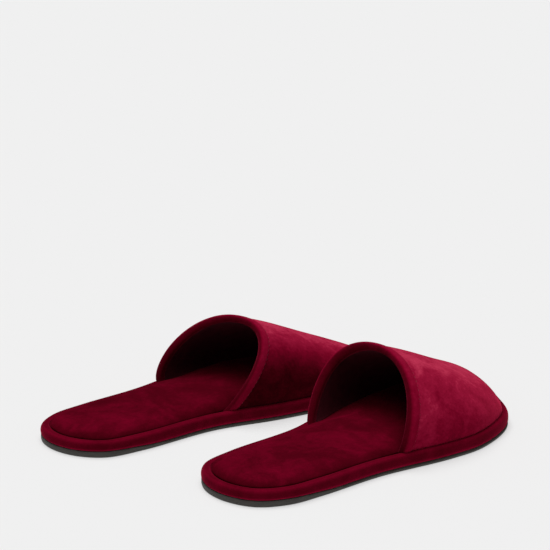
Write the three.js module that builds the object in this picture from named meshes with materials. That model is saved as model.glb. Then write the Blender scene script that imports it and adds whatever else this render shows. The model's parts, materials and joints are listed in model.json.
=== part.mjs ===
// A pair of velvet spa slippers: closed toe, open back, flat rubber sole.
// Millimetres, +Z up. The toes point to +Y and the wearer's right is +X. The pair stands on z = 0
// as it is put down beside a bed: nearly side by side, the right slipper a little ahead, toes in.
// Each slipper is built for the right foot in its own frame, with the back of the heel at y = 0
// and the outer side of the foot at +x. The left slipper is its mirror image.
import * as THREE from 'three';
import { mergeVertices } from 'three/addons/utils/BufferGeometryUtils.js';

// ---------- placing of the pair ----------
const HEEL_SPREAD = 66.8; // heel of each slipper from the middle of the pair, across
const STAGGER = 10.4; // the right slipper stands this far ahead of the middle, the left behind it
const TOE_IN = THREE.MathUtils.degToRad(4.5);

// ---------- outline of the sole, right foot: heel, outer side, toe, inner side ----------
const OUTLINE = [
  [1, 0], [21, 5.5], [33, 21.5], [38, 46], [43, 91], [55.5, 142], [58, 171], [46, 212], [21, 235.5],
  [-9, 255.5], [-28.5, 254.5], [-43.5, 235], [-48.5, 190], [-44.5, 144], [-35, 99], [-36.5, 44],
  [-33, 18.5], [-19, 5],
];
const OUTLINE_SAMPLES = 360;

// ---------- layers of the sole, from the floor up ----------
const GAP = 0.3; // between touching pieces
const OUTSOLE_TOP = 4;
const RIM_BASE = OUTSOLE_TOP + GAP;
const RIM_TOP = 9.5;
const RIM_WALL = 1.2; // velvet round the edge of the sole
const LIP_INSET = 6.5; // how far the velvet runs in over the midsole
const LIP_BASE = RIM_TOP - RIM_WALL;
const MIDSOLE_TOP = LIP_BASE - GAP;
const BED_BASE = RIM_TOP + GAP; // footbed and upper start here
const FOAM_TOP = 12.7;
const FOAM_ROUND = 0.8;
const COVER_TOP = 14;
const BED_SHOULDER = 2.5; // rounding of the footbed's top edge
const BED_TAPER_Y = 190; // from here the footbed is shortened, to fit the low part of the toe
const BED_TAPER = 0.82;
const FLEX_Y = 100; // the sole bends here, just behind the upper
const PATH_STEPS = { heel: 26, front: 40 }; // facets round the edge

// ---------- upper ----------
const SEAM_INSET = 4.8; // the upper meets the rim this far in from the sole's edge
const VELVET = 0.8;
const PADDING = 1;
const LINING = 0.6;
const WALL = VELVET + PADDING + LINING + 2 * GAP;
const TOPLINE_Y = 109.5; // where the topline leaves the rim, on both sides
const TOPLINE_LEAN = 33; // how much further forward the topline is over the instep
const TOPLINE_POWER = 1.9; // above 1, the lean is gathered over the instep
const TOPLINE_TWIST = 3.7; // the inner side of the topline is cut further forward than the outer
const CREST_Y = 141; // the instep, where the upper is tallest
const CREST_Z = 60.2;
const RIDGE_END_Y = 265.5; // the falling ridge would meet the rim here, had the toe no rounding
const RIDGE_EASE = 0.03; // softens the start of the fall
const RIDGE_SAG = 0.15; // share of the fall that grows with the square of the distance
const TOE_ROUND = 9; // length of the round end of the toe
const CREST_SHIFT = 12.8; // the ridge of the instep lies towards the inner side
const FULLNESS = { outer: 0.27, inner: 0.17 }; // how far the sides of the upper swell out
const SHOULDER = 1.6; // above 1, the sides slope in more than an ellipse's
const LAYER_DROP = { instep: 1.1, toe: 0.45 }; // drop of a layer for each millimetre of its depth
const BINDING_DEPTH = 5;
const BINDING_PROUD = 0.8;
const BINDING_NOSE = 1.4; // length of the binding's rounded back edge
const THREAD_RADIUS = 0.4;
const ACROSS_STEPS = 18; // facets over the instep
const ALONG_STEPS = 10; // facets from topline to toe
const TOE_CROWDING = 1.7; // the facets get shorter towards the toe

const material = (color, roughness) =>
  new THREE.MeshStandardMaterial({ color, roughness, metalness: 0, side: THREE.DoubleSide });
const velvet = material(0x7d0f26, 0.95);
const binding = material(0x6b0c20, 0.9);
const lining = material(0x2c060c, 0.95);
const foam = material(0xe9e2cf, 1);
const board = material(0xb99a6b, 0.9);
const rubber = material(0x46443f, 0.75);
const thread = material(0x5a0a1b, 0.7);

// ---------- outline helpers ----------
const edge = new THREE.CatmullRomCurve3(
  OUTLINE.map(([x, y]) => new THREE.Vector3(x, y, 0)), true, 'centripetal');
const edgeSamples = Array.from({ length: OUTLINE_SAMPLES }, (_, i) => {
  const point = edge.getPointAt(i / OUTLINE_SAMPLES);
  const tangent = edge.getTangentAt(i / OUTLINE_SAMPLES);
  return { point, inward: new THREE.Vector2(-tangent.y, tangent.x) };
});

// The outline moved inwards by inset.
function insetLoop(inset) {
  return edgeSamples.map(({ point, inward }) =>
    new THREE.Vector2(point.x + inward.x * inset, point.y + inward.y * inset));
}

function crossing(a, b, y) {
  return a.clone().lerp(b, (y - a.y) / (b.y - a.y));
}

// Evenly spaced points of the inset outline, on the heel's or the front's side of the flex line.
function halfPath(inset, half) {
  const limit = half === 'front' ? FLEX_Y + GAP / 2 : FLEX_Y - GAP / 2;
  const inside = (p) => (half === 'front' ? p.y > limit : p.y < limit);
  const loop = insetLoop(inset);
  const at = (i) => loop[(i + loop.length) % loop.length];
  let i = loop.findIndex((p, k) => inside(p) && !inside(at(k - 1)));
  const path = [crossing(at(i - 1), at(i), limit)];
  for (; inside(at(i)); i++) path.push(at(i));
  path.push(crossing(at(i - 1), at(i), limit));
  const line = new THREE.CurvePath();
  for (let k = 1; k < path.length; k++) line.add(new THREE.LineCurve(path[k - 1], path[k]));
  const steps = PATH_STEPS[half];
  return Array.from({ length: steps + 1 }, (_, k) => line.getPointAt(k / steps));
}

// Outer and inner x of the inset outline at y.
function sidesAt(loop, y) {
  const xs = [];
  loop.forEach((p, i) => {
    const q = loop[(i + 1) % loop.length];
    if ((p.y <= y) !== (q.y <= y)) xs.push(crossing(p, q, y).x);
  });
  return [Math.max(...xs), Math.min(...xs)];
}

// ---------- solids ----------
// A closed solid through rings with equal numbers of points. A cap is a ring seen flat, as 2-D points.
// From point swapFrom on, the facets are split the other way, so that nested layers stay parallel.
function loft(rings, firstCap, lastCap, swapFrom = Infinity) {
  const count = rings[0].length;
  const triangles = [];
  for (let i = 1; i < rings.length; i++) {
    for (let j = 0; j < count; j++) {
      const a = (i - 1) * count + j;
      const b = (i - 1) * count + (j + 1) % count;
      if (j < swapFrom) triangles.push([a, b, b + count], [a, b + count, a + count]);
      else triangles.push([a, b, a + count], [b, b + count, a + count]);
    }
  }
  const cap = (flat, offset, reverse) => {
    const turn = THREE.ShapeUtils.isClockWise(flat) !== reverse;
    for (const face of THREE.ShapeUtils.triangulateShape(flat, [])) {
      const t = face.map((k) => k + offset);
      triangles.push(turn ? t.reverse() : t);
    }
  };
  cap(firstCap, 0, true);
  cap(lastCap, (rings.length - 1) * count, false);
  return solid(rings.flat(), triangles);
}

// Joins points that coincide, drops the triangles this empties and turns the faces outwards.
function solid(points, triangles) {
  const raw = new THREE.BufferGeometry().setFromPoints(points);
  raw.setIndex(triangles.flat());
  const merged = mergeVertices(raw, 1e-3);
  const p = Array.from({ length: merged.attributes.position.count }, (_, i) =>
    new THREE.Vector3().fromBufferAttribute(merged.attributes.position, i));
  const index = merged.index.array;
  const faces = [];
  let volume = 0;
  for (let i = 0; i < index.length; i += 3) {
    const [a, b, c] = [index[i], index[i + 1], index[i + 2]];
    if (a === b || b === c || c === a) continue;
    faces.push([a, b, c]);
    volume += p[a].dot(p[b].clone().cross(p[c]));
  }
  if (volume < 0) faces.forEach((f) => f.reverse());
  merged.setIndex(faces.flat());
  merged.computeVertexNormals();
  return merged;
}

// A plate with the sole's outline. Each level is [inset, z], from the bottom up.
function plate(half, levels, shorten = (y) => y) {
  const loops = levels.map(([inset, z]) =>
    halfPath(inset, half).map((p) => new THREE.Vector3(p.x, shorten(p.y), z)));
  const flat = (loop) => loop.map((p) => new THREE.Vector2(p.x, p.y));
  return loft(loops, flat(loops[0]), flat(loops.at(-1)));
}

// A band round the sole's edge. The section's points are [inset, z].
function band(half, section) {
  const paths = section.map(([inset]) => halfPath(inset, half));
  const rings = paths[0].map((_, k) =>
    section.map(([, z], j) => new THREE.Vector3(paths[j][k].x, paths[j][k].y, z)));
  const flat = (ring) => ring.map((p) => new THREE.Vector2(p.x, p.z));
  return loft(rings, flat(rings[0]), flat(rings.at(-1)));
}

// ---------- upper surface ----------
// Height of the upper's ridge at y: level over the instep, then falling to the toe.
function crest(y) {
  const t = (y - CREST_Y) / (RIDGE_END_Y - CREST_Y);
  const fall = (t + Math.hypot(t, RIDGE_EASE)) / 2;
  return CREST_Z - (CREST_Z - BED_BASE) * (fall - RIDGE_SAG * fall * (1 - fall));
}

// Front edge of the topline's cut at an angle round the section, 0 on the outer side, PI inside.
function topline(angle) {
  const lean = Math.max(Math.sin(angle), 0) ** TOPLINE_POWER;
  return TOPLINE_Y + TOPLINE_LEAN * lean - TOPLINE_TWIST * Math.sin(2 * angle);
}

// The surface at a depth under the upper's face. Layers thin out towards the toe seam.
function upperSurface(depth) {
  const loop = insetLoop(SEAM_INSET + depth);
  const tip = Math.max(...loop.map((p) => p.y)) - 1e-3;
  const end = crest(RIDGE_END_Y);
  const point = (angle, y) => {
    const [outer, inner] = sidesAt(loop, Math.min(y, tip));
    const t = THREE.MathUtils.clamp((y - CREST_Y) / (RIDGE_END_Y - CREST_Y), 0, 1);
    const drop = depth * THREE.MathUtils.lerp(LAYER_DROP.instep, LAYER_DROP.toe, t * t);
    const past = THREE.MathUtils.clamp((y - tip) / TOE_ROUND + 1, 0, 1);
    const rise = Math.max(crest(y) - end - drop, 0) * Math.sqrt(1 - past * past);
    const share = rise / (CREST_Z - BED_BASE);
    const half = (outer - inner) / 2;
    const sine = Math.max(Math.sin(angle), 0);
    const swell = angle < Math.PI / 2 ? FULLNESS.outer : FULLNESS.inner;
    const x = (outer + inner) / 2 + half * Math.cos(angle)
      + share * (swell * half * Math.sin(2 * angle) - CREST_SHIFT * sine ** 2);
    return new THREE.Vector3(x, y, BED_BASE + rise * sine ** SHOULDER);
  };
  return { tip, point };
}

// One layer of the upper, from outerDepth to innerDepth, in front of the binding.
function layer(outerDepth, innerDepth) {
  const faces = [outerDepth, innerDepth].map(upperSurface);
  const rings = [];
  for (let j = 0; j <= ACROSS_STEPS; j++) {
    const angle = Math.PI * j / ACROSS_STEPS;
    const start = topline(angle) + BINDING_DEPTH + GAP;
    const lines = faces.map(({ tip, point }) =>
      Array.from({ length: ALONG_STEPS + 1 }, (_, i) => {
        const left = (1 - i / ALONG_STEPS) ** TOE_CROWDING;
        return point(angle, tip - (tip - start) * left);
      }));
    rings.push([...lines[0], ...lines[1].reverse()]);
  }
  const flat = (ring) => ring.map((p) => new THREE.Vector2(p.x, p.y));
  return loft(rings, flat(rings[0]), flat(rings.at(-1)), ALONG_STEPS + 1);
}

// A band along the topline. The section's points are [depth, distance ahead of the topline].
function toplineBand(section) {
  const surfaces = section.map(([depth]) => upperSurface(depth));
  const rings = [];
  for (let j = 0; j <= ACROSS_STEPS; j++) {
    const angle = Math.PI * j / ACROSS_STEPS;
    rings.push(section.map(([, ahead], k) => surfaces[k].point(angle, topline(angle) + ahead)));
  }
  const flat = (ring) => ring.map((p) => new THREE.Vector2(p.x, p.y));
  return loft(rings, flat(rings[0]), flat(rings.at(-1)));
}

const BINDING_SECTION = [
  [-BINDING_PROUD, BINDING_DEPTH], [-BINDING_PROUD, BINDING_NOSE], [0.4, 0], [WALL - 0.4, 0],
  [WALL + BINDING_PROUD, BINDING_NOSE], [WALL + BINDING_PROUD, BINDING_DEPTH],
];
const THREAD_SECTION = Array.from({ length: 6 }, (_, k) => {
  const turn = Math.PI * k / 3;
  return [-THREAD_RADIUS - GAP - 0.1 + THREAD_RADIUS * Math.cos(turn),
    BINDING_DEPTH + GAP + 0.1 + THREAD_RADIUS * (1 + Math.sin(turn))];
});
const RIM_SECTION = [
  [0, RIM_BASE], [0, 6.8], [0.7, 8.5], [2.2, 9.3], [4.4, RIM_TOP], [LIP_INSET, RIM_TOP],
  [LIP_INSET, LIP_BASE], [RIM_WALL, LIP_BASE], [RIM_WALL, RIM_BASE],
];

// The heel half of the footbed reaches the rim's seam. The front half fits inside the upper.
const footbedInset = {
  heel: SEAM_INSET + GAP,
  front: SEAM_INSET + WALL + BINDING_PROUD + GAP,
};

// ---------- assembly ----------
function slipper(side, mirrored) {
  const group = new THREE.Group();
  const add = (name, geometry, surface) => {
    if (mirrored) {
      geometry.scale(-1, 1, 1);
      const index = geometry.index.array;
      for (let i = 0; i < index.length; i += 3) [index[i], index[i + 1]] = [index[i + 1], index[i]];
      geometry.computeVertexNormals();
    }
    const mesh = new THREE.Mesh(geometry, surface);
    mesh.name = `${side}_${name}`;
    group.add(mesh);
  };
  for (const half of ['heel', 'front']) {
    const bed = footbedInset[half];
    const fitToe = (y) => (y < BED_TAPER_Y ? y : BED_TAPER_Y + (y - BED_TAPER_Y) * BED_TAPER);
    add(`outsole_${half}`, plate(half, [[0, 0], [0, OUTSOLE_TOP]]), rubber);
    add(`midsole_${half}`,
      plate(half, [[RIM_WALL + GAP, RIM_BASE], [RIM_WALL + GAP, MIDSOLE_TOP]]), foam);
    add(`rim_cover_${half}`, band(half, RIM_SECTION), velvet);
    add(`insole_board_${half}`,
      plate(half, [[LIP_INSET + GAP, LIP_BASE], [LIP_INSET + GAP, RIM_TOP]]), board);
    const foamLevels = [[bed, BED_BASE], [bed, FOAM_TOP - FOAM_ROUND], [bed + FOAM_ROUND, FOAM_TOP]];
    add(`footbed_foam_${half}`, plate(half, foamLevels, fitToe), foam);
    const coverLevels = [[bed, FOAM_TOP + GAP], [bed + BED_SHOULDER, COVER_TOP]];
    add(`footbed_cover_${half}`, plate(half, coverLevels, fitToe), velvet);
  }
  add('upper_velvet', layer(0, VELVET), velvet);
  add('upper_padding', layer(VELVET + GAP, VELVET + GAP + PADDING), foam);
  add('upper_lining', layer(WALL - LINING, WALL), lining);
  add('topline_binding', toplineBand(BINDING_SECTION), binding);
  add('topline_stitching', toplineBand(THREAD_SECTION), thread);
  const turn = mirrored ? -1 : 1;
  group.position.set(turn * HEEL_SPREAD, turn * STAGGER, 0);
  group.rotation.z = turn * TOE_IN;
  return group;
}

// The pair, with its origin in the middle of its footprint, on the floor.
const pair = new THREE.Group();
pair.add(slipper('right', false), slipper('left', true));
pair.updateMatrixWorld(true);
const footprint = new THREE.Box3().setFromObject(pair, true).getCenter(new THREE.Vector3());
pair.position.set(-footprint.x, -footprint.y, 0);

export default pair;
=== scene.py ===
"""A pair of crimson velvet spa slippers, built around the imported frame.

Every piece is shaped for the right foot in millimetres, x to the outer side of the foot, y from the
back of the heel to the toes, z up, and then placed on its slipper. The left slipper is the mirror image.
"""
import json
import math

import bmesh
import bpy
import numpy as np
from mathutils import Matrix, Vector


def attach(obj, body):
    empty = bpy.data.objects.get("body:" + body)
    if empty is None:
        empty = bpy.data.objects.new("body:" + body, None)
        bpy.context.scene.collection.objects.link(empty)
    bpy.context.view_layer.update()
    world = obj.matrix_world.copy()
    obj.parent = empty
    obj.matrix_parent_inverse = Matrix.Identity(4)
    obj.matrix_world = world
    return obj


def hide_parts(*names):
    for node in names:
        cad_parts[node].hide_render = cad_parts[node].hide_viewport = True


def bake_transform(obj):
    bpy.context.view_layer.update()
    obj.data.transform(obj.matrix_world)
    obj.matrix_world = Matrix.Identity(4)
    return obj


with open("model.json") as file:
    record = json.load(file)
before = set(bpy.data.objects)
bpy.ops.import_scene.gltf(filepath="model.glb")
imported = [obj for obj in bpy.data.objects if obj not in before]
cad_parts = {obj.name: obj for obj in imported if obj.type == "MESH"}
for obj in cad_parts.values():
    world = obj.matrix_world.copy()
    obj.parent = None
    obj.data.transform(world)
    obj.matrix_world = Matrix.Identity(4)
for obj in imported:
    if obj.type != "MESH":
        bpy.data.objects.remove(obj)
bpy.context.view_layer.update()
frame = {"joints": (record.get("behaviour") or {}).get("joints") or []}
MM = 0.001

# ---------- the sole's outline and layers, as in the CAD model ----------
OUTLINE = [
    (1, 0), (21, 5.5), (33, 21.5), (38, 46), (43, 91), (55.5, 142), (58, 171), (46, 212), (21, 235.5),
    (-9, 255.5), (-28.5, 254.5), (-43.5, 235), (-48.5, 190), (-44.5, 144), (-35, 99), (-36.5, 44),
    (-33, 18.5), (-19, 5),
]
FLEX_Y = 100
SEAM_INSET = 4.8  # the upper meets the rim this far in from the sole's edge
SEAM_Z = 9.3
BED_TAPER_Y = 190  # from here the footbed is shortened, to fit the low part of the toe
BED_TAPER = 0.82
RING = 280  # points round the sole
SPINE_HEEL = (1, 38)
SPINE_TOE = (-5, 212)

# ---------- the upper, as in the CAD model ----------
VELVET_DEPTHS = (0, 0.8)  # outer and inner depth of each layer under the upper's face
PADDING_DEPTHS = (1.0, 2.1)
LINING_DEPTHS = (2.3, 3.0)
WALL = LINING_DEPTHS[1]
BINDING_PROUD = 0.8
TOPLINE_Y = 109.5
TOPLINE_LEAN = 33
TOPLINE_POWER = 1.9
TOPLINE_TWIST = 3.7
CREST_Y = 141
CREST_Z = 60.2
RIDGE_END_Y = 265.5
RIDGE_EASE = 0.03
RIDGE_SAG = 0.15
TOE_ROUND = 9
CREST_SHIFT = 12.8
FULLNESS_OUTER = 0.27
FULLNESS_INNER = 0.17
SHOULDER = 1.6
LAYER_DROP_INSTEP = 1.1
LAYER_DROP_TOE = 0.45
SOFTNESS = 0.7  # height of the slow waves in the padded upper

# ---------- camera ----------
CAMERA_PLACE = (0.8202, -0.7767, 0.4015)
CAMERA_TURN = 47.06
CAMERA_TILT = 74.98
LENS = 123.5


# ====================================================================== outline
def closed_spline(points, per_span=80):
    """A closed centripetal Catmull-Rom curve through 2-D points."""
    p = np.array(points, float)
    n = len(p)
    out = []
    for i in range(n):
        a, b, c, d = p[i - 1], p[i], p[(i + 1) % n], p[(i + 2) % n]
        ta, tb, tc = (math.sqrt(np.linalg.norm(v)) for v in (b - a, c - b, d - c))
        m0 = tb * ((b - a) / ta - (c - a) / (ta + tb) + (c - b) / tb)
        m1 = tb * ((c - b) / tb - (d - b) / (tb + tc) + (d - c) / tc)
        t = np.linspace(0, 1, per_span, endpoint=False)[:, None]
        out.append((2 * t**3 - 3 * t**2 + 1) * b + (t**3 - 2 * t**2 + t) * m0
                   + (3 * t**2 - 2 * t**3) * c + (t**3 - t**2) * m1)
    return np.concatenate(out)


def even(points, count):
    """count points at equal steps along a polyline, its two ends included."""
    steps = np.r_[0, np.cumsum(np.linalg.norm(np.diff(points, axis=0), axis=1))]
    at = np.linspace(0, steps[-1], count)
    return np.stack([np.interp(at, steps, points[:, k]) for k in range(points.shape[1])], 1)


def make_edge():
    """The outline from the heel's tip round the outer side to the toe's tip and back, with its
    inward normals."""
    dense = closed_spline(OUTLINE)
    dense = np.roll(dense, -int(np.argmin(dense[:, 1])), axis=0)
    toe = int(np.argmax(dense[:, 1]))
    outer = even(dense[:toe + 1], RING // 2 + 1)
    inner = even(np.r_[dense[toe:], dense[:1]], RING // 2 + 1)
    edge = np.r_[outer[:-1], inner[:-1]]
    ahead = np.roll(edge, -1, 0) - np.roll(edge, 1, 0)
    ahead /= np.linalg.norm(ahead, axis=1, keepdims=True)
    return edge, np.stack([-ahead[:, 1], ahead[:, 0]], 1)


EDGE, INWARD = make_edge()
SPINE = np.array(SPINE_HEEL) + (np.array(SPINE_TOE) - np.array(SPINE_HEEL)) * (
    1 - np.abs(np.arange(RING) / (RING / 2) - 1))[:, None]


def inset(depth):
    """The outline moved inwards, by one depth or by a depth for each of its points."""
    return EDGE + INWARD * np.reshape(depth, (-1, 1))


def smooth(value, low, high):
    t = np.clip((np.asarray(value, float) - low) / (high - low), 0, 1)
    return t * t * (3 - 2 * t)


def curve_profile(points, steps=5):
    """A smooth open curve through a section's points."""
    p = np.array(points, float)
    p = np.r_[[2 * p[0] - p[1]], p, [2 * p[-1] - p[-2]]]
    t = np.linspace(0, 1, steps, endpoint=False)[:, None]
    out = []
    for a, b, c, d in zip(p, p[1:], p[2:], p[3:]):
        out.append(0.5 * (2 * b + (c - a) * t + (2 * a - 5 * b + 4 * c - d) * t**2
                          + (3 * b - a - 3 * c + d) * t**3))
    return np.r_[np.concatenate(out), p[-2:-1]]


# ====================================================================== slippers and meshes
class Slipper:
    """One slipper's place in the row frame, read from its sole's hinge."""

    def __init__(self, side):
        joint = next(j for j in frame["joints"] if j["name"] == f"{side}_sole_flex")
        self.side = side
        self.turn = 1 if side == "right" else -1
        self.across = -Vector(joint["axis"])
        self.ahead = Vector((-self.across.y, self.across.x, 0))
        self.hinge = Vector(joint["pos_m"])
        self.heel = Vector((self.hinge.x, self.hinge.y, 0)) - self.ahead * FLEX_Y * MM
        self.front, self.back = f"{side}_front", f"{side}_heel"

    def place(self, points):
        p = np.asarray(points, float).reshape(-1, 3) * MM
        return (np.array(self.heel) + p[:, :1] * self.turn * np.array(self.across)
                + p[:, 1:2] * np.array(self.ahead) + p[:, 2:] * np.array((0, 0, 1)))

    def bend(self, piece, half_length=20):
        """Bakes the piece's placement into its mesh; it does not bend."""
        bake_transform(piece)


def mesh_piece(slipper, name, points, faces, material, merge=0.0):
    """A mesh on a slipper, from points in millimetres; joined and smooth-shaded only when merge is given.
    """
    mesh = bpy.data.meshes.new(f"{slipper.side}_{name}")
    mesh.from_pydata(slipper.place(points).tolist(), [], [tuple(f) for f in faces])
    piece = bpy.data.objects.new(f"{slipper.side}_{name}", mesh)
    bpy.context.scene.collection.objects.link(piece)
    mesh.materials.append(material)
    if merge:
        tidy(piece, merge)
    return piece


def tidy(piece, merge=0.005):
    """Joins points that coincide, turns the faces outwards and shades them smooth."""
    bm = bmesh.new()
    bm.from_mesh(piece.data)
    bmesh.ops.remove_doubles(bm, verts=bm.verts, dist=merge * MM)
    bmesh.ops.dissolve_degenerate(bm, edges=bm.edges, dist=1e-7)
    bmesh.ops.recalc_face_normals(bm, faces=bm.faces)
    for face in bm.faces:
        face.smooth = True
    bm.to_mesh(piece.data)
    bm.free()


def grid_faces(rows, columns, wrap_rows=False, wrap_columns=False):
    faces = []
    for i in range(rows if wrap_rows else rows - 1):
        for j in range(columns if wrap_columns else columns - 1):
            a, b = i * columns + j, i * columns + (j + 1) % columns
            c, d = (i + 1) % rows * columns + (j + 1) % columns, (i + 1) % rows * columns + j
            faces.append((a, b, c, d))
    return faces


def side_rings(section, shift=0.0, hang=0.0, shape=lambda xy: xy, step=1):
    """Rings round the sole for a section of (inset, z, share of the hang) points."""
    rings = []
    for depth, z, share in section:
        xy = shape(inset(depth + shift))
        rings.append(np.c_[xy, z - hang * share * np.ones(RING)][::step])
    return rings


def plate(section, fill=12, dome=0.0, step=1, **options):
    """Points and faces of a closed plate: out along the underside, round the edge, and back on top."""
    rings = side_rings(section, step=step, **options)
    shape = options.get("shape", lambda xy: xy)
    spine = shape(SPINE)[::step]
    low, high = rings[0], rings[-1]
    under = [np.c_[spine + (low[:, :2] - spine) * k / fill, low[:, 2]] for k in range(fill)]
    over = [np.c_[spine + (high[:, :2] - spine) * k / fill, high[:, 2] + dome * (1 - (k / fill) ** 2)]
            for k in range(fill - 1, -1, -1)]
    rings = under + rings + over
    return np.concatenate(rings), grid_faces(len(rings), RING // step, wrap_columns=True)


# ====================================================================== materials
def new_material(name, color, roughness):
    material = bpy.data.materials.new(name)
    material.use_nodes = True
    shader = material.node_tree.nodes["Principled BSDF"]
    shader.inputs["Base Color"].default_value = (*color, 1)
    shader.inputs["Roughness"].default_value = roughness
    return material, material.node_tree, shader


def add(tree, kind, inputs=None, **settings):
    node = tree.nodes.new(kind)
    for key, value in settings.items():
        setattr(node, key, value)
    for key, value in (inputs or {}).items():
        node.inputs[key].default_value = value
    return node


def noise_at(tree, scale, detail=3.0, roughness=0.5, stretch=(1, 1, 1), distortion=0.0):
    """Noise over the object's own coordinates, scale in features a metre."""
    place = add(tree, "ShaderNodeTexCoord")
    mapping = add(tree, "ShaderNodeMapping")
    mapping.inputs["Scale"].default_value = stretch
    texture = add(tree, "ShaderNodeTexNoise", {
        "Scale": scale, "Detail": detail, "Roughness": roughness, "Distortion": distortion})
    tree.links.new(place.outputs["Object"], mapping.inputs["Vector"])
    tree.links.new(mapping.outputs["Vector"], texture.inputs["Vector"])
    return texture.outputs["Fac"]


def ramp(tree, source, stops):
    node = add(tree, "ShaderNodeValToRGB")
    elements = node.color_ramp.elements
    while len(elements) < len(stops):
        elements.new(0.5)
    for element, (position, color) in zip(elements, stops):
        element.position = position
        element.color = (*color, 1)
    tree.links.new(source, node.inputs["Fac"])
    return node.outputs["Color"]


def mix(tree, a, b, factor, mode="MIX"):
    """Mixes two colours. factor is a number or a socket."""
    node = add(tree, "ShaderNodeMix", data_type="RGBA", blend_type=mode)
    for socket, value in ((node.inputs[0], factor), (node.inputs[6], a), (node.inputs[7], b)):
        if isinstance(value, bpy.types.NodeSocket):
            tree.links.new(value, socket)
        else:
            socket.default_value = value if isinstance(value, float) else (*value, 1)
    return node.outputs[2]


def bump(tree, shader, height, strength, distance, below=None):
    node = add(tree, "ShaderNodeBump", {"Strength": strength, "Distance": distance})
    tree.links.new(height, node.inputs["Height"])
    if below is not None:
        tree.links.new(below, node.inputs["Normal"])
    return node.outputs["Normal"]


def calc(tree, operation, *values):
    node = add(tree, "ShaderNodeMath", operation=operation)
    for socket, value in zip(node.inputs, values):
        if isinstance(value, bpy.types.NodeSocket):
            tree.links.new(value, socket)
        else:
            socket.default_value = value
    return node.outputs[0]


PAINTED_LIGHT_RANGE = 0.8  # scales the painted light level so that painted highlights above 1 still land inside the ramp
# Velvet colours by painted light level: painted shade at 0, mid crimson at 0.5, a pink painted highlight at
# 1.
VELVET_SHADE_TO_HIGHLIGHT = [(0.0, (0.026, 0.0004, 0.0018)), (0.26, (0.080, 0.0008, 0.0065)),
                (0.50, (0.190, 0.0014, 0.017)), (0.68, (0.30, 0.0070, 0.036)),
                (0.80, (0.44, 0.026, 0.070)), (1.0, (0.60, 0.052, 0.115))]


def velvet(name, mottle=45, blotch=0.30, sheen=0.5, pile=0.35, tufts=0.12):
    """Short brushed pile. A per-vertex attribute holds painted light and shade, from 0 for painted shade to
    1 for a painted highlight; random mottle is added to it and a ramp turns it into the base colour.
    """
    material, tree, shader = new_material(name, (0.12, 0.001, 0.01), 0.9)
    shader.inputs["Specular IOR Level"].default_value = 0.0
    shader.inputs["Sheen Weight"].default_value = sheen
    shader.inputs["Sheen Roughness"].default_value = 0.35
    shader.inputs["Sheen Tint"].default_value = (1.0, 0.06, 0.15, 1)
    painted_light = add(tree, "ShaderNodeAttribute", attribute_name="painted_light").outputs["Fac"]
    patches = noise_at(tree, mottle, 4.0, 0.6, distortion=0.8)
    strokes = noise_at(tree, 170, 4.0, 0.65, stretch=(1.0, 0.6, 1.0), distortion=1.5)
    tuft = noise_at(tree, 520, 3.0, 0.7)
    fibre = noise_at(tree, 2400, 2.0, 0.7)
    painted_light_level = calc(tree, "MULTIPLY_ADD", calc(tree, "SUBTRACT", patches, 0.5), blotch * 2, painted_light)
    painted_light_level = calc(tree, "MULTIPLY_ADD", calc(tree, "SUBTRACT", strokes, 0.5), blotch * 0.7, painted_light_level)
    painted_light_level = calc(tree, "MULTIPLY_ADD", calc(tree, "SUBTRACT", tuft, 0.5), tufts * 2, painted_light_level)
    # The ramp paints shade and highlight into the base colour.
    color = ramp(tree, calc(tree, "MULTIPLY", painted_light_level, PAINTED_LIGHT_RANGE), VELVET_SHADE_TO_HIGHLIGHT)
    grain = ramp(tree, fibre, [(0.25, (0.80, 0.80, 0.80)), (0.75, (1.18, 1.18, 1.18))])
    color = mix(tree, color, grain, 0.8, "MULTIPLY")
    tree.links.new(color, shader.inputs["Base Color"])
    soft = bump(tree, shader, strokes, 0.25, 0.0005)
    tree.links.new(bump(tree, shader, fibre, pile, 0.00025, soft), shader.inputs["Normal"])
    return material


def lining_cloth(name):
    material, tree, shader = new_material(name, (0.03, 0.001, 0.004), 0.9)
    shader.inputs["Specular IOR Level"].default_value = 0.1
    shader.inputs["Sheen Weight"].default_value = 0.25
    shader.inputs["Sheen Roughness"].default_value = 0.5
    shader.inputs["Sheen Tint"].default_value = (0.6, 0.08, 0.14, 1)
    brushed = noise_at(tree, 160, 3.0)
    fibre = noise_at(tree, 2400, 2.0, 0.7)
    color = ramp(tree, brushed, [(0.3, (0.026, 0.0010, 0.0028)), (0.7, (0.054, 0.0022, 0.007))])
    tree.links.new(color, shader.inputs["Base Color"])
    tree.links.new(bump(tree, shader, fibre, 0.3, 0.0002), shader.inputs["Normal"])
    return material


def sole_rubber(name):
    """Grey-brown moulded rubber, with fine grain and faint scuffs."""
    material, tree, shader = new_material(name, (0.06, 0.053, 0.046), 0.62)
    shader.inputs["Specular IOR Level"].default_value = 0.35
    grain = noise_at(tree, 1500, 3.0, 0.6)
    scuffs = noise_at(tree, 140, 5.0, 0.65, stretch=(1, 1, 4))
    color = ramp(tree, scuffs, [(0.3, (0.036, 0.033, 0.029)), (0.7, (0.064, 0.059, 0.052))])
    tree.links.new(color, shader.inputs["Base Color"])
    gloss = ramp(tree, scuffs, [(0.3, (0.52,) * 3), (0.7, (0.72,) * 3)])
    tree.links.new(gloss, shader.inputs["Roughness"])
    tree.links.new(bump(tree, shader, grain, 0.35, 0.0002), shader.inputs["Normal"])
    return material


def foam_material(name):
    material, tree, shader = new_material(name, (0.75, 0.70, 0.58), 0.95)
    cells = add(tree, "ShaderNodeTexVoronoi", {"Scale": 900.0})
    place = add(tree, "ShaderNodeTexCoord")
    tree.links.new(place.outputs["Object"], cells.inputs["Vector"])
    color = ramp(tree, cells.outputs["Distance"], [(0.1, (0.52, 0.47, 0.37)), (0.6, (0.79, 0.74, 0.62))])
    tree.links.new(color, shader.inputs["Base Color"])
    tree.links.new(bump(tree, shader, cells.outputs["Distance"], 0.4, 0.0003), shader.inputs["Normal"])
    return material


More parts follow.
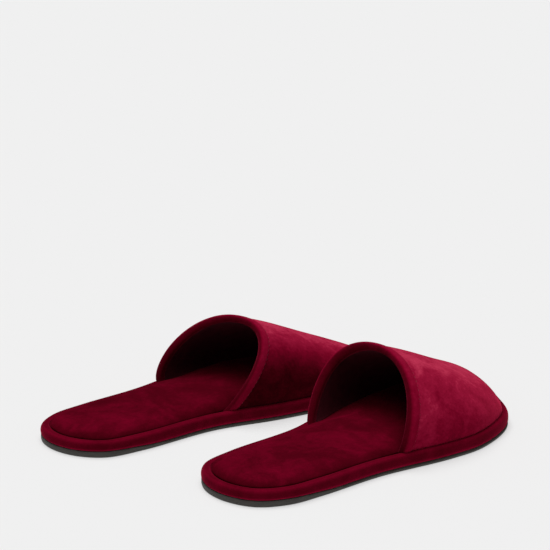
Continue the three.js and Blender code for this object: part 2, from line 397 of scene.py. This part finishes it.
def board_material(name):
    material, tree, shader = new_material(name, (0.40, 0.27, 0.14), 0.9)
    fibres = noise_at(tree, 600, 5.0, 0.7, stretch=(1, 4, 1))
    color = ramp(tree, fibres, [(0.3, (0.30, 0.19, 0.09)), (0.7, (0.50, 0.36, 0.20))])
    tree.links.new(color, shader.inputs["Base Color"])
    tree.links.new(bump(tree, shader, fibres, 0.3, 0.0002), shader.inputs["Normal"])
    return material


def thread_material(name):
    material, tree, shader = new_material(name, (0.09, 0.003, 0.012), 0.55)
    twist = add(tree, "ShaderNodeTexWave", {"Scale": 900.0, "Distortion": 1.0}, bands_direction="DIAGONAL")
    place = add(tree, "ShaderNodeTexCoord")
    tree.links.new(place.outputs["Object"], twist.inputs["Vector"])
    color = ramp(tree, twist.outputs["Fac"], [(0.2, (0.13, 0.0018, 0.011)), (0.8, (0.22, 0.004, 0.022))])
    tree.links.new(color, shader.inputs["Base Color"])
    tree.links.new(bump(tree, shader, twist.outputs["Fac"], 0.4, 0.0002), shader.inputs["Normal"])
    return material


MATERIALS = {
    "velvet": velvet("upper_velvet", blotch=0.34, sheen=0.5, tufts=0.17),
    "rim": velvet("rim_velvet", mottle=60, blotch=0.16, sheen=0.4, tufts=0.06),
    "footbed_velvet": velvet("footbed_velvet", mottle=40, blotch=0.30, sheen=0.1, tufts=0.08),
    "binding": velvet("binding_velvet", mottle=90, blotch=0.16, sheen=0.4, tufts=0.10),
    "lining": lining_cloth("lining_cloth"),
    "rubber": sole_rubber("sole_rubber"),
    "foam": foam_material("foam"),
    "board": board_material("fibreboard"),
    "thread": thread_material("sewing_thread"),
}


def paint_light(piece, values):
    """Writes painted light and shade, one value a vertex, before any vertices are merged."""
    layer = piece.data.attributes.new("painted_light", "FLOAT", "POINT")
    layer.data.foreach_set("value", np.broadcast_to(values, len(piece.data.vertices)).astype(np.float32))


# ====================================================================== sole
# Sections through the edge of each layer, from below. Their points are (inset, z, share of the hang).
OUTSOLE_SIDE = [(3.0, 0.0, 0), (0.9, 0.03, 0), (0.3, 0.4, 0), (0.08, 1.2, 0), (0.1, 2.1, 0.1),
                (0.1, 3.4, 1), (0.5, 3.8, 1), (1.75, 3.95, 1), (2.2, 4.05, 0)]
RIM_OUTSIDE = curve_profile([(1.6, 4.1, 1), (0.6, 4.25, 1), (0.05, 5.0, 0.8), (-0.1, 6.2, 0.4),
                             (0.05, 7.6, 0.1), (0.6, 8.9, 0), (1.5, 9.8, 0), (2.6, 10.2, 0),
                             (3.6, 10.2, 0), (4.6, 9.95, 0), (5.15, 9.5, 0), (5.6, 8.9, 0),
                             (9.8, 8.6, 0)], 3)
RIM_INSIDE = np.array([(9.8, 8.1, 0), (1.6, 8.1, 0)])
RIM_SECTION = np.r_[RIM_OUTSIDE, RIM_INSIDE]
RIM_HANG = 1.5 * smooth(EDGE[:, 1], 20, 62)  # in front of the heel the velvet hides more of the outsole
RIM_PAINTED_LIGHT = [(4.1, 0.85), (4.6, 0.70), (5.6, 0.38), (8.0, 0.36), (9.8, 0.50), (10.2, 0.40)]  # (z, painted light): a painted highlight along the lower edge and a fainter one on top of the roll, painted shade on the side between
BED_SIDE = [(6.6, 9.1, 0), (5.9, 9.2, 0), (5.4, 9.8, 0), (5.9, 10.7, 0), (7.5, 12.2, 0), (10.3, 13.6, 0),
            (14.2, 14.4, 0), (18.5, 14.7, 0)]
BED_PINNED_Z = 10.2  # the footbed cover is sewn down below this
# The front of the footbed fits inside the upper and its binding.
BED_NARROWING = (WALL + BINDING_PROUD) * smooth(EDGE[:, 1], TOPLINE_Y - 5, TOPLINE_Y)


def shorten_toe(xy):
    y = xy[:, 1]
    return np.c_[xy[:, 0], np.where(y < BED_TAPER_Y, y, BED_TAPER_Y + (y - BED_TAPER_Y) * BED_TAPER)]


def sole_piece(slipper, name, points, faces, material):
    piece = mesh_piece(slipper, name, points, faces, MATERIALS[material], merge=0.01)
    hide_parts(f"{slipper.side}_{name}_heel", f"{slipper.side}_{name}_front")
    return piece


def make_outsole(slipper):
    points, faces = plate(OUTSOLE_SIDE, hang=RIM_HANG)
    slipper.bend(sole_piece(slipper, "outsole", points, faces, "rubber"))


def make_inner_plates(slipper):
    for name, material, slot, low, high, depth, options in (
            ("midsole", "foam", "foam", 4.3, 7.9, 2.4, {}),
            ("insole_board", "board", "fibreboard", 8.15, 8.6, 10.2, {}),
            ("footbed_foam", "foam", "foam", 9.3, 11.7, 10.8,
             {"shift": BED_NARROWING, "shape": shorten_toe})):
        section = [(depth + 0.6, low, 0), (depth, low + 0.1, 0),
                   (depth, high - 0.1, 0), (depth + 0.6, high, 0)]
        points, faces = plate(section, **options)
        piece = sole_piece(slipper, name, points, faces, material)
        slipper.bend(piece)


def make_rim(slipper):
    rings = side_rings(RIM_SECTION, hang=RIM_HANG)
    faces = grid_faces(len(rings), RING, wrap_rows=True, wrap_columns=True)
    piece = sole_piece(slipper, "rim_cover", np.concatenate(rings), faces, "rim")
    # Painted light by height round the rim: painted highlights at the lower edge and on top of the roll,
    # painted shade on the side.
    painted_light_level = np.interp(RIM_SECTION[:, 1], *np.transpose(RIM_PAINTED_LIGHT))
    paint_light(piece, np.repeat(painted_light_level, RING))
    slipper.bend(piece)


def inflate(piece, pinned, pressure=4.0, frames=20, limit=0.9):
    """Blows the piece up a little as cloth, held where pinned says, and smooths it."""
    scene = bpy.context.scene
    group = piece.vertex_groups.new(name="held")
    for index, held in enumerate(pinned):
        group.add([index], 1.0 if held else 0.0, "REPLACE")
    cloth = piece.modifiers.new("cloth", "CLOTH")
    cloth.settings.vertex_group_mass = "held"
    cloth.settings.use_pressure = True
    cloth.settings.uniform_pressure_force = pressure
    cloth.settings.effector_weights.gravity = 0
    cloth.settings.tension_stiffness = cloth.settings.compression_stiffness = 25
    cloth.settings.bending_stiffness = 0.6
    cloth.point_cache.frame_start, cloth.point_cache.frame_end = 1, frames
    rest = np.array([v.co for v in piece.data.vertices])
    for frame_number in range(1, frames + 1):
        scene.frame_set(frame_number)
    view = piece.evaluated_get(bpy.context.evaluated_depsgraph_get())
    blown = np.array([v.co for v in view.data.vertices])
    piece.modifiers.remove(cloth)
    move = blown - rest
    size = np.linalg.norm(move, axis=1, keepdims=True)
    move *= np.minimum(1, limit * MM / np.maximum(size, 1e-9))
    piece.data.vertices.foreach_set("co", (rest + move).ravel())
    piece.vertex_groups.remove(group)
    scene.frame_set(1)


def subdivide(piece, levels):
    finer = piece.modifiers.new("finer", "SUBSURF")
    finer.levels = levels
    view = piece.evaluated_get(bpy.context.evaluated_depsgraph_get())
    mesh = bpy.data.meshes.new_from_object(view)
    piece.modifiers.clear()
    piece.data = mesh


def footbed_painted_light(slipper, piece):
    """Painted light and shade on the footbed: painted shade on the slope at the edge, where it enters the
    upper and on its outer side, darker under the heel with a slightly lighter patch in front, and slow
    waves.
    """
    world = np.array([v.co for v in piece.data.vertices])
    away = world - np.array(slipper.heel)
    y = away @ np.array(slipper.ahead) / MM
    x = away @ np.array(slipper.across) / MM * slipper.turn
    heel = np.exp(-(((x - 2) / 20) ** 2 + ((y - 42) / 34) ** 2))
    lighter_patch = np.exp(-(((x - 6) / 16) ** 2 + ((y - 100) / 10) ** 2))
    # Painted shade on the slope at the edge and, next line, where the footbed enters the upper and on its
    # outer side.
    slope = 1 - smooth(world[:, 2] / MM, 10.5, 14.2)
    shaded = 0.17 * smooth(y, 80, 130) + 0.05 * smooth(x, 8, 30) * smooth(y, 60, 110)
    waves = 0.05 * np.sin(y / 17 + x / 23)
    return 0.42 - 0.13 * slope - 0.10 * heel + 0.03 * lighter_patch - shaded + waves


def make_footbed(slipper):
    points, faces = plate(BED_SIDE, fill=10, dome=0.3, step=4, shift=BED_NARROWING, shape=shorten_toe)
    piece = sole_piece(slipper, "footbed_cover", points, faces, "footbed_velvet")
    inflate(piece, [v.co.z < BED_PINNED_Z * MM for v in piece.data.vertices])
    subdivide(piece, 2)
    paint_light(piece, footbed_painted_light(slipper, piece))
    slipper.bend(piece)


# ====================================================================== upper
def crest(y):
    t = (y - CREST_Y) / (RIDGE_END_Y - CREST_Y)
    fall = (t + np.hypot(t, RIDGE_EASE)) / 2
    return CREST_Z - (CREST_Z - SEAM_Z) * (fall - RIDGE_SAG * fall * (1 - fall))


def topline(angle):
    """Where the topline is cut at an angle round the section, 0 on the outer side, pi on the inner."""
    lean = np.maximum(np.sin(angle), 0) ** TOPLINE_POWER
    return TOPLINE_Y + TOPLINE_LEAN * lean - TOPLINE_TWIST * np.sin(2 * angle)


class UpperSurface:
    """The upper at one depth under its face, by the angle round the section and by y."""

    def __init__(self, depth):
        self.depth = depth
        loop = inset(SEAM_INSET + depth)
        half = RING // 2
        self.outer, self.inner = loop[:half + 1], np.r_[loop[half:], loop[:1]][::-1]
        self.tip = loop[half, 1]

    def point(self, angle, y):
        outer = np.interp(y, self.outer[:, 1], self.outer[:, 0])
        inner = np.interp(y, self.inner[:, 1], self.inner[:, 0])
        t = np.clip((y - CREST_Y) / (RIDGE_END_Y - CREST_Y), 0, 1)
        drop = self.depth * (LAYER_DROP_INSTEP + (LAYER_DROP_TOE - LAYER_DROP_INSTEP) * t**2)
        past = np.clip((y - self.tip) / TOE_ROUND + 1, 0, 1)
        wave = SOFTNESS * (np.sin(y / 19 + 2.2 * angle) * np.sin(y / 31 - 1.3 * angle + 1))
        rise = np.maximum(crest(y) - crest(RIDGE_END_Y) - drop + wave * np.sin(math.pi * t), 0)
        rise = rise * np.sqrt(1 - past**2)
        share = rise / (CREST_Z - SEAM_Z)
        half, sine = (outer - inner) / 2, np.maximum(np.sin(angle), 0)
        swell = np.where(np.cos(angle) > 0, FULLNESS_OUTER, FULLNESS_INNER)
        x = ((outer + inner) / 2 + half * np.cos(angle)
             + share * (swell * half * np.sin(2 * angle) - CREST_SHIFT * sine**2))
        return np.stack([x, y, SEAM_Z + rise * sine**SHOULDER], -1)


ACROSS, ALONG = 96, 72


def layer_points(outer_depth, inner_depth, start):
    """A layer of the upper: a closed ring of points round its thickness for each angle over the foot."""
    faces = [UpperSurface(outer_depth), UpperSurface(inner_depth)]
    left = (1 - np.arange(ALONG + 1) / ALONG) ** 1.6
    rings = []
    for angle in np.linspace(0, math.pi, ACROSS + 1):
        lines = []
        for face in faces:
            y = face.tip - (face.tip - topline(angle) - start) * left
            lines.append(face.point(np.full_like(y, angle), y))
        rings.append(np.r_[lines[0], lines[1][::-1]])
    count = len(rings[0])
    quads = grid_faces(ACROSS + 1, count, wrap_columns=True)
    for base in (0, ACROSS * count):
        for k in range(ALONG):
            quads.append((base + k, base + k + 1, base + count - 2 - k, base + count - 1 - k))
    return np.concatenate(rings), quads


def upper_painted_light():
    """Painted light and shade for the upper: a painted highlight over the instep, painted shade on the
    inner side near the topline, and a little darker towards the toe.
    """
    angle = np.repeat(np.linspace(0, math.pi, ACROSS + 1), 2 * (ALONG + 1))
    along = np.linspace(0, 1, ALONG + 1)
    along = np.tile(np.r_[along, along[::-1]], ACROSS + 1)
    # Painted highlight on top of the foot; painted shade on the inner side near the topline.
    top = np.sin(angle) ** 3
    inner_side = smooth(angle, 1.7, 2.7)
    toe = smooth(along, 0.5, 1)
    shaded = inner_side * (1 - 0.80 * smooth(along, 0.05, 0.8))
    return 0.69 + 0.32 * top - 0.10 * toe - 0.56 * shaded


def make_layer(slipper, name, material, slot, outer_depth, inner_depth, painted_light=None, start=1.6):
    points, faces = layer_points(outer_depth, inner_depth, start)
    piece = mesh_piece(slipper, name, points, faces, MATERIALS[material])
    if painted_light is not None:
        paint_light(piece, painted_light)
    tidy(piece)
    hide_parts(f"{slipper.side}_{name}")
    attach(piece, slipper.front)
    return piece


# The binding's section, as (depth, distance ahead of the topline).
BINDING_SIDE = curve_profile([(-0.1, 5.0), (-0.45, 5.1), (-0.75, 4.7), (-0.85, 3.8), (-0.9, 2.6),
                              (-0.85, 1.2), (-0.5, 0.2), (0.3, -0.5), (1.5, -0.75), (2.7, -0.5),
                              (3.5, 0.2), (3.8, 1.4), (3.75, 3.0), (3.6, 4.6), (3.3, 5.0),
                              (3.05, 4.9)], 2)
BINDING_INSIDE = np.array([(3.05, 1.4), (2.6, 0.9), (1.5, 0.7), (0.4, 0.9), (-0.1, 1.4)])


def make_binding(slipper, steps=120):
    """A velvet band folded over the topline, outside, round the edge and inside."""
    section = np.r_[BINDING_SIDE, BINDING_INSIDE]
    surfaces = [UpperSurface(depth) for depth, _ in section]
    angles = np.linspace(0, math.pi, steps + 1)
    points = np.stack([surface.point(angles, topline(angles) + ahead)
                       for surface, (_, ahead) in zip(surfaces, section)], 1).reshape(-1, 3)
    count = len(section)
    faces = grid_faces(steps + 1, count, wrap_columns=True)
    faces += [tuple(range(count)), tuple(range(steps * count, (steps + 1) * count))]
    piece = mesh_piece(slipper, "topline_binding", points, faces, MATERIALS["binding"])
    # Painted light on the binding: lighter outside, painted shade on its inner face, a painted highlight
    # over the top of the foot.
    painted_light_level = np.interp(section[:, 0], [-0.9, -0.6, 0.2, 2.4, 3.8], [0.60, 0.54, 0.26, 0.20, 0.20])
    paint_light(piece, (painted_light_level + 0.15 * np.sin(angles)[:, None] ** 2).ravel())
    tidy(piece)
    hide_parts(f"{slipper.side}_topline_binding")
    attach(piece, slipper.front)


def make_stitching(slipper, pitch=3.2, length=2.5, radius=0.2, ahead=5.15):
    """A row of stitches along the binding's front edge."""
    surface, under = UpperSurface(-0.35), UpperSurface(0.5)
    angles = np.linspace(0.02, math.pi - 0.02, 600)
    line = np.array([surface.point(a, topline(a) + ahead) for a in angles])
    below = np.array([under.point(a, topline(a) + ahead) for a in angles])
    travel = np.r_[0, np.cumsum(np.linalg.norm(np.diff(line, axis=0), axis=1))]
    points, faces = [], []
    sides, stations = 6, 7
    at = lambda path, s: np.array([np.interp(s, travel, path[:, k]) for k in range(3)])
    for k in range(int(travel[-1] / pitch)):
        start = (k + 0.3) * pitch
        base = len(points)
        for i in range(stations):
            share = i / (stations - 1)
            s = start + length * share
            out = at(line, s) - at(below, s)
            out /= np.linalg.norm(out)
            along = at(line, s + 0.2) - at(line, s - 0.2)
            along /= np.linalg.norm(along)
            side = np.cross(along, out)
            lift = radius * (1.5 * math.sin(math.pi * share) - 1.2)
            width = radius * (0.55 + 0.45 * math.sin(math.pi * share))
            centre = at(line, s) + out * lift
            for j in range(sides):
                turn = 2 * math.pi * j / sides
                points.append(centre + width * (math.cos(turn) * out + math.sin(turn) * side))
        faces += [tuple(base + v for v in face) for face in grid_faces(stations, sides, wrap_columns=True)]
        faces += [tuple(base + j for j in range(sides)),
                  tuple(base + (stations - 1) * sides + j for j in range(sides))]
    piece = mesh_piece(slipper, "topline_stitching", points, faces, MATERIALS["thread"])
    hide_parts(f"{slipper.side}_topline_stitching")
    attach(piece, slipper.front)


# ====================================================================== stage
FLOOR_SHADE = 0.35
FLOOR_GLOW = 0.496  # light from within the floor, which keeps the shadows faint
SKY_LIGHT = 0.20


def make_stage():
    material, _, shader = new_material("floor", (FLOOR_SHADE,) * 3, 0.9)
    shader.inputs["Emission Color"].default_value = (1, 1, 1, 1)
    shader.inputs["Emission Strength"].default_value = FLOOR_GLOW
    shader.inputs["Specular IOR Level"].default_value = 0.0
    mesh = bpy.data.meshes.new("floor")
    size = 8
    mesh.from_pydata([(-size, -size, 0), (size, -size, 0), (size, size, 0), (-size, size, 0)], [],
                     [(0, 1, 2, 3)])
    floor = bpy.data.objects.new("floor", mesh)
    bpy.context.scene.collection.objects.link(floor)
    mesh.materials.append(material)


def sun(name, came_from, power, width):
    """A soft light that is the same all over the floor. width is the angle it is seen under, in degrees."""
    data = bpy.data.lights.new(name, "SUN")
    data.energy = power
    data.angle = math.radians(width)
    light = bpy.data.objects.new(name, data)
    light.rotation_euler = (-Vector(came_from)).to_track_quat("-Z", "Y").to_euler()
    bpy.context.scene.collection.objects.link(light)


def make_lights():
    world = bpy.data.worlds.new("studio")
    world.use_nodes = True
    background = world.node_tree.nodes["Background"]
    background.inputs["Color"].default_value = (1, 1, 1, 1)
    background.inputs["Strength"].default_value = SKY_LIGHT
    bpy.context.scene.world = world
    sun("key", (-0.36, 0.12, 1.45), 1.9, 45)
    sun("front", (0.35, -0.4, 1.6), 0.95, 55)


def make_camera():
    data = bpy.data.cameras.new("camera")
    data.lens = LENS
    data.sensor_width = 36
    data.clip_end = 50
    camera = bpy.data.objects.new("camera", data)
    camera.location = CAMERA_PLACE
    camera.rotation_euler = (math.radians(CAMERA_TILT), 0, math.radians(CAMERA_TURN))
    bpy.context.scene.collection.objects.link(camera)
    bpy.context.scene.camera = camera


# ====================================================================== the scene
make_camera()
make_stage()
make_lights()
bpy.context.scene.view_settings.view_transform = "Standard"
for side in ("right", "left"):
    slipper = Slipper(side)
    make_outsole(slipper)
    make_inner_plates(slipper)
    make_rim(slipper)
    make_footbed(slipper)
    make_layer(slipper, "upper_velvet", "velvet", "velvet", *VELVET_DEPTHS, upper_painted_light())
    padding = make_layer(slipper, "upper_padding", "foam", "foam", *PADDING_DEPTHS, start=2.5)
    make_layer(slipper, "upper_lining", "lining", "lining", *LINING_DEPTHS)
    make_binding(slipper)
    make_stitching(slipper)
